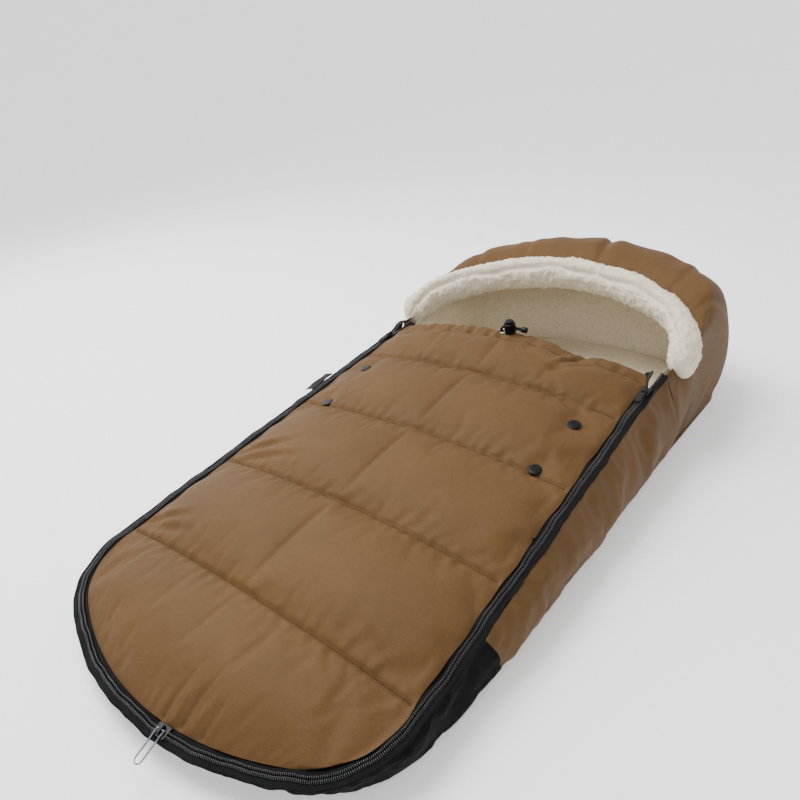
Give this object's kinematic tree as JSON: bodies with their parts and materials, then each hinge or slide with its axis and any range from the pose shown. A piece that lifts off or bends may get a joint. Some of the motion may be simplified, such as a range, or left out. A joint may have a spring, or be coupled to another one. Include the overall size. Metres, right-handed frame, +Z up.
{
  "type": "pushchair footmuff",
  "caption": "Padded winter footmuff with a quilted zip-round cover, a fold-down flap with press studs, a toe zip slider, and a raised hood with a thick pile rim.",
  "frame": {"origin": "on the flat back, on the middle line, 516 mm along from the middle of the toe zip, a little toward the head from halfway", "axes": "+X to the right seen from the foot end, +Y from the foot to the hood, +Z up out of the bag's front"},
  "size_m": [0.5342, 1.0458, 0.236],
  "materials": {
    "brown_fabric": "smooth tobacco brown polyester with a soft sheen",
    "black_fabric": "matte black hard-wearing weave",
    "wadding": "white polyester wadding, hidden",
    "pile_lining": "short cream pile",
    "rim_pile": "thick curly cream pile",
    "zip_tape": "black woven tape with a shiny black coil",
    "label_fabric": "blank black woven tape",
    "black_plastic": "black moulded plastic",
    "black_metal": "black lacquered zinc",
    "bare_wire": "dull steel wire",
    "cord_fabric": "black round elastic",
    "eyelet_thread": "pale stitched buttonhole"
  },
  "bodies": {
    "shell": {"back_panel": "brown_fabric", "foot_base": "black_fabric", "back_wadding": "wadding", "back_lining": "pile_lining", "slot_bindings": "black_fabric", "foot_panel": "black_fabric", "side_panel_left": "brown_fabric", "side_panel_right": "brown_fabric", "wall_wadding": "wadding", "wall_lining": "pile_lining", "head_wall": "brown_fabric", "head_wall_wadding": "wadding", "head_wall_lining": "pile_lining", "hood_canopy": "brown_fabric", "hood_canopy_wadding": "wadding", "hood_canopy_lining": "pile_lining", "left_wall_stringer": "zip_tape", "right_wall_stringer": "zip_tape", "toe_quilt": "brown_fabric", "toe_wadding": "wadding", "toe_lining": "pile_lining", "left_toe_stringer": "zip_tape", "right_toe_stringer": "zip_tape", "side_label": "label_fabric"},
    "cover": {"cover_quilt": "brown_fabric", "cover_wadding": "wadding", "cover_lining": "pile_lining", "left_cover_stringer": "zip_tape", "right_cover_stringer": "zip_tape", "lower_stud_caps": "black_plastic", "lower_stud_sockets": "black_metal"},
    "flap": {"flap_quilt": "brown_fabric", "flap_wadding": "wadding", "flap_lining": "pile_lining", "left_flap_stringer": "zip_tape", "right_flap_stringer": "zip_tape", "upper_stud_caps": "black_plastic", "upper_stud_sockets": "black_metal", "cover_hem": "brown_fabric", "drawcord": "cord_fabric", "drawcord_eyelet": "eyelet_thread", "drawcord_tail": "cord_fabric", "cord_end": "black_plastic"},
    "rim": {"hood_rim": "rim_pile", "hood_rim_core": "wadding"},
    "left_slider": {"left_slider": "black_metal"},
    "left_pull": {"left_pull": "black_metal"},
    "right_slider": {"right_slider": "black_metal"},
    "right_pull": {"right_pull": "black_metal"},
    "toe_slider": {"toe_slider": "black_metal"},
    "toe_pull": {"toe_pull": "bare_wire"},
    "cord_lock": {"cord_lock_body": "black_plastic", "cord_lock_spring": "bare_wire"},
    "plunger": {"cord_lock_plunger": "black_plastic"}
  },
  "joints": [
    {"name": "cover_open", "type": "hinge", "parent": "shell", "child": "cover", "pos_m": [0, -0.37269, 0.08513], "axis": [1, 0, 0], "range_deg": [0, 160], "deforming": ["left_cover_stringer", "right_cover_stringer", "left_flap_stringer", "right_flap_stringer"]},
    {"name": "flap_fold", "type": "hinge", "parent": "cover", "child": "flap", "pos_m": [0, -0.0217, 0.13838], "axis": [1, 0, 0], "range_deg": [0, 170], "deforming": ["left_flap_stringer", "right_flap_stringer", "left_cover_stringer", "right_cover_stringer"]},
    {"name": "hood_fold", "type": "hinge", "parent": "shell", "child": "rim", "pos_m": [0, 0.21004, 0.1384], "axis": [1, 0, 0], "range_deg": [0, 50], "deforming": ["hood_canopy", "hood_canopy_wadding", "hood_canopy_lining"]},
    {"name": "left_zip_slide", "type": "slide", "parent": "shell", "child": "left_slider", "axis": [-0.0444, -0.9877, -0.1499], "range_m": [-0.03, 0.47]},
    {"name": "left_pull_swing", "type": "hinge", "parent": "left_slider", "child": "left_pull", "pos_m": [-0.22, 0.13069, 0.13389], "axis": [-0.999, 0.0439, 0.0067], "range_deg": [0, 150]},
    {"name": "right_zip_slide", "type": "slide", "parent": "shell", "child": "right_slider", "axis": [0.0444, -0.9877, -0.1499], "range_m": [-0.03, 0.47]},
    {"name": "right_pull_swing", "type": "hinge", "parent": "right_slider", "child": "right_pull", "pos_m": [0.22, 0.13069, 0.13389], "axis": [-0.999, -0.0439, -0.0067], "range_deg": [0, 150]},
    {"name": "toe_zip_slide", "type": "hinge", "parent": "shell", "child": "toe_slider", "pos_m": [0, -0.0909, 0.0945], "axis": [0, -0.15, 0.9887], "range_deg": [-18, 16]},
    {"name": "toe_pull_swing", "type": "hinge", "parent": "toe_slider", "child": "toe_pull", "pos_m": [0.04495, -0.51457, 0.03599], "axis": [-0.9945, -0.1033, -0.0157], "range_deg": [0, 120]},
    {"name": "cord_lock_slide", "type": "slide", "parent": "flap", "child": "cord_lock", "axis": [1, 0, 0], "range_m": [0, 0.01]},
    {"name": "cord_lock_press", "type": "slide", "parent": "cord_lock", "child": "plunger", "axis": [0, 0.15, -0.9887], "range_m": [0, 0.003], "stiffness_N_per_m": 600, "springref_m": -0.003, "deforming": ["cord_lock_spring"]}
  ]
}
